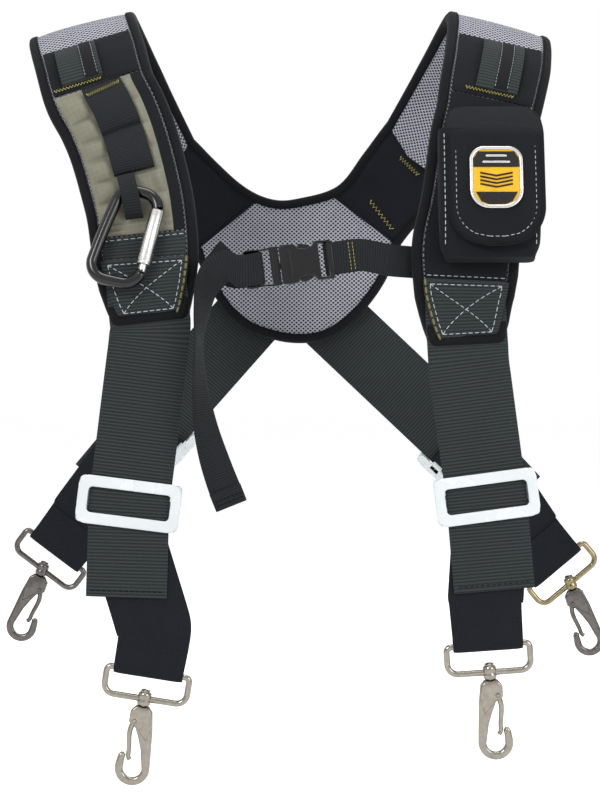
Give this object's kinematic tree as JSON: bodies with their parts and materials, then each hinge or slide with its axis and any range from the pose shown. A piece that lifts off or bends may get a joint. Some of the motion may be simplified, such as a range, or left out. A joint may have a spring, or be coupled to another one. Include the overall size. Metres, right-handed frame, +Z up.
{
  "type": "tool belt braces",
  "caption": "Padded shoulder braces for a tool belt, with a mesh back yoke, adjustable straps on swivel snap hooks, a sternum strap, a phone pouch and a carabiner.",
  "frame": {"origin": "midway between the shoulders, level with the inner face of the pad crests", "axes": "+Z up, front of the wearer faces -Y, +X to the right as seen from the front"},
  "size_m": [0.4308, 0.2079, 0.5009],
  "materials": {
    "black_cloth": "matt black woven nylon and binding tape",
    "spacer_mesh": "grey three-dimensional spacer mesh",
    "ribbed_webbing": "ribbed black polypropylene webbing",
    "ripstop": "creased grey-olive ripstop cloth, padded",
    "elastic": "smooth dark woven elastic",
    "clear_plastic": "milky translucent plastic",
    "black_plastic": "moulded black acetal",
    "nickel": "bright nickel plate with darkened hollows",
    "black_anodised": "black anodised aluminium",
    "aluminium": "plain turned aluminium sleeve",
    "yellow_rubber": "amber rubber badge with a silver rim"
  },
  "bodies": {
    "root": {"left_pad_binding": "black_cloth", "right_pad_binding": "black_cloth", "left_top_panel": "black_cloth", "right_top_panel": "black_cloth", "right_front_panel": "black_cloth", "yoke_neck_binding": "black_cloth", "yoke_hem_binding": "black_cloth", "left_yoke_wing": "black_cloth", "right_yoke_wing": "black_cloth", "phone_pouch": "black_cloth", "left_shoulder_pad": "spacer_mesh", "right_shoulder_pad": "spacer_mesh", "yoke_pad": "spacer_mesh", "left_webbing_band": "ribbed_webbing", "left_label_loop": "ribbed_webbing", "right_label_loop": "ribbed_webbing", "daisy_loop_1": "ribbed_webbing", "daisy_loop_2": "ribbed_webbing", "daisy_loop_3": "ribbed_webbing", "left_anchor_patch": "ribbed_webbing", "right_anchor_patch": "ribbed_webbing", "chest_strap_left": "ribbed_webbing", "chest_strap_right": "ribbed_webbing", "front_left_webbing": "ribbed_webbing", "front_right_webbing": "ribbed_webbing", "back_left_webbing": "ribbed_webbing", "back_right_webbing": "ribbed_webbing", "left_ripstop_panel": "ripstop", "buckle_male": "black_plastic", "buckle_female": "black_plastic"},
    "front_left_adjuster": {"front_left_slider": "clear_plastic", "front_left_elastic": "elastic"},
    "front_left_ring_body": {"front_left_ring": "nickel"},
    "front_left_hook_body": {"front_left_hook": "nickel"},
    "front_left_gate_body": {"front_left_gate": "nickel"},
    "front_right_adjuster": {"front_right_slider": "clear_plastic", "front_right_elastic": "elastic"},
    "front_right_ring_body": {"front_right_ring": "nickel"},
    "front_right_hook_body": {"front_right_hook": "nickel"},
    "front_right_gate_body": {"front_right_gate": "nickel"},
    "back_left_adjuster": {"back_left_slider": "clear_plastic", "back_left_elastic": "elastic"},
    "back_left_ring_body": {"back_left_ring": "nickel"},
    "back_left_hook_body": {"back_left_hook": "nickel"},
    "back_left_gate_body": {"back_left_gate": "nickel"},
    "back_right_adjuster": {"back_right_slider": "clear_plastic", "back_right_elastic": "elastic"},
    "back_right_ring_body": {"back_right_ring": "nickel"},
    "back_right_hook_body": {"back_right_hook": "nickel"},
    "back_right_gate_body": {"back_right_gate": "nickel"},
    "flap": {"pouch_flap": "black_cloth", "pouch_badge": "yellow_rubber"},
    "carabiner": {"carabiner_body": "black_anodised"},
    "carabiner_gate_body": {"carabiner_gate": "black_anodised"},
    "carabiner_sleeve_body": {"carabiner_sleeve": "aluminium"},
    "prong_upper": {"buckle_prong_upper": "black_plastic"},
    "prong_lower": {"buckle_prong_lower": "black_plastic"}
  },
  "joints": [
    {"name": "front_left_adjust", "type": "slide", "parent": "root", "child": "front_left_adjuster", "axis": [0.1233, 0, 0.9924], "range_m": [-0.035, 0.055]},
    {"name": "front_left_ring_swing", "type": "hinge", "parent": "front_left_adjuster", "child": "front_left_ring_body", "pos_m": [-0.094, -0.09014, -0.4106], "axis": [0.9877, 0, -0.1564], "range_deg": [-60, 60]},
    {"name": "front_left_hook_swivel", "type": "hinge", "parent": "front_left_ring_body", "child": "front_left_hook_body", "pos_m": [-0.09666, -0.09014, -0.42739], "axis": [0.1736, 0, 0.9848], "continuous": true},
    {"name": "front_left_gate_open", "type": "hinge", "parent": "front_left_hook_body", "child": "front_left_gate_body", "pos_m": [-0.10265, -0.09014, -0.44065], "axis": [0, -1, 0], "range_deg": [0, 18], "stiffness_Nm_per_rad": 0.03, "springref_deg": -11.46},
    {"name": "front_right_adjust", "type": "slide", "parent": "root", "child": "front_right_adjuster", "axis": [-0.1318, 0, 0.9913], "range_m": [-0.035, 0.045]},
    {"name": "front_right_ring_swing", "type": "hinge", "parent": "front_right_adjuster", "child": "front_right_ring_body", "pos_m": [0.1166, -0.09014, -0.394], "axis": [0.9976, 0, 0.0698], "range_deg": [-60, 60]},
    {"name": "front_right_hook_swivel", "type": "hinge", "parent": "front_right_ring_body", "child": "front_right_hook_body", "pos_m": [0.11779, -0.09014, -0.41096], "axis": [-0.0872, 0, 0.9962], "continuous": true},
    {"name": "front_right_gate_open", "type": "hinge", "parent": "front_right_hook_body", "child": "front_right_gate_body", "pos_m": [0.1226, -0.09014, -0.42469], "axis": [0, 1, 0], "range_deg": [0, 18], "stiffness_Nm_per_rad": 0.03, "springref_deg": -11.46},
    {"name": "back_left_adjust", "type": "slide", "parent": "root", "child": "back_left_adjuster", "axis": [0.6632, 0, 0.7485], "range_m": [-0.035, 0.045]},
    {"name": "back_left_ring_swing", "type": "hinge", "parent": "back_left_adjuster", "child": "back_left_ring_body", "pos_m": [-0.1755, 0.08634, -0.3505], "axis": [-0.7986, 0, 0.6018], "range_deg": [-60, 60]},
    {"name": "back_left_hook_swivel", "type": "hinge", "parent": "back_left_ring_body", "child": "back_left_hook_body", "pos_m": [-0.18573, 0.08634, -0.36408], "axis": [0.342, 0, 0.9397], "continuous": true},
    {"name": "back_left_gate_open", "type": "hinge", "parent": "back_left_hook_body", "child": "back_left_gate_body", "pos_m": [-0.18717, 0.08634, -0.37856], "axis": [0, 1, 0], "range_deg": [0, 18], "stiffness_Nm_per_rad": 0.03, "springref_deg": -11.46},
    {"name": "back_right_adjust", "type": "slide", "parent": "root", "child": "back_right_adjuster", "axis": [-0.7262, 0, 0.6875], "range_m": [-0.035, 0.045]},
    {"name": "back_right_ring_swing", "type": "hinge", "parent": "back_right_adjuster", "child": "back_right_ring_body", "pos_m": [0.184, 0.08634, -0.361], "axis": [-0.766, 0, -0.6428], "range_deg": [-60, 60]},
    {"name": "back_right_hook_swivel", "type": "hinge", "parent": "back_right_ring_body", "child": "back_right_hook_body", "pos_m": [0.19493, 0.08634, -0.37402], "axis": [-0.309, 0, 0.9511], "continuous": true},
    {"name": "back_right_gate_open", "type": "hinge", "parent": "back_right_hook_body", "child": "back_right_gate_body", "pos_m": [0.19586, 0.08634, -0.38854], "axis": [0, -1, 0], "range_deg": [0, 18], "stiffness_Nm_per_rad": 0.03, "springref_deg": -11.46},
    {"name": "pouch_flap_lift", "type": "hinge", "parent": "root", "child": "flap", "pos_m": [0.1205, -0.07662, -0.07556], "axis": [-1, 0, 0], "range_deg": [0, 95]},
    {"name": "carabiner_swing", "type": "hinge", "parent": "root", "child": "carabiner", "pos_m": [-0.09966, -0.0897, -0.1127], "axis": [-1, 0, 0], "range_deg": [0, 40]},
    {"name": "carabiner_gate_open", "type": "hinge", "parent": "carabiner", "child": "carabiner_gate_body", "pos_m": [-0.09711, -0.10096, -0.16147], "axis": [0, -0.9744, 0.225], "range_deg": [0, 10], "stiffness_Nm_per_rad": 0.05, "springref_deg": -11.46},
    {"name": "carabiner_sleeve_slide", "type": "slide", "parent": "carabiner_gate_body", "child": "carabiner_sleeve_body", "axis": [0.225, 0.2192, 0.9494], "range_m": [-0.004, 0]},
    {"name": "prong_upper_squeeze", "type": "hinge", "parent": "root", "child": "prong_upper", "pos_m": [-0.01179, -0.088, -0.15091], "axis": [0, 1, 0], "range_deg": [0, 9], "stiffness_Nm_per_rad": 0.2, "springref_deg": -5.73},
    {"name": "prong_lower_squeeze", "type": "hinge", "parent": "root", "child": "prong_lower", "pos_m": [-0.00983, -0.088, -0.16558], "axis": [0, -1, 0], "range_deg": [0, 9], "stiffness_Nm_per_rad": 0.2, "springref_deg": -5.73}
  ],
  "couplings": [
    {"joint": "prong_lower_squeeze", "follows": "prong_upper_squeeze", "ratio": 1}
  ]
}
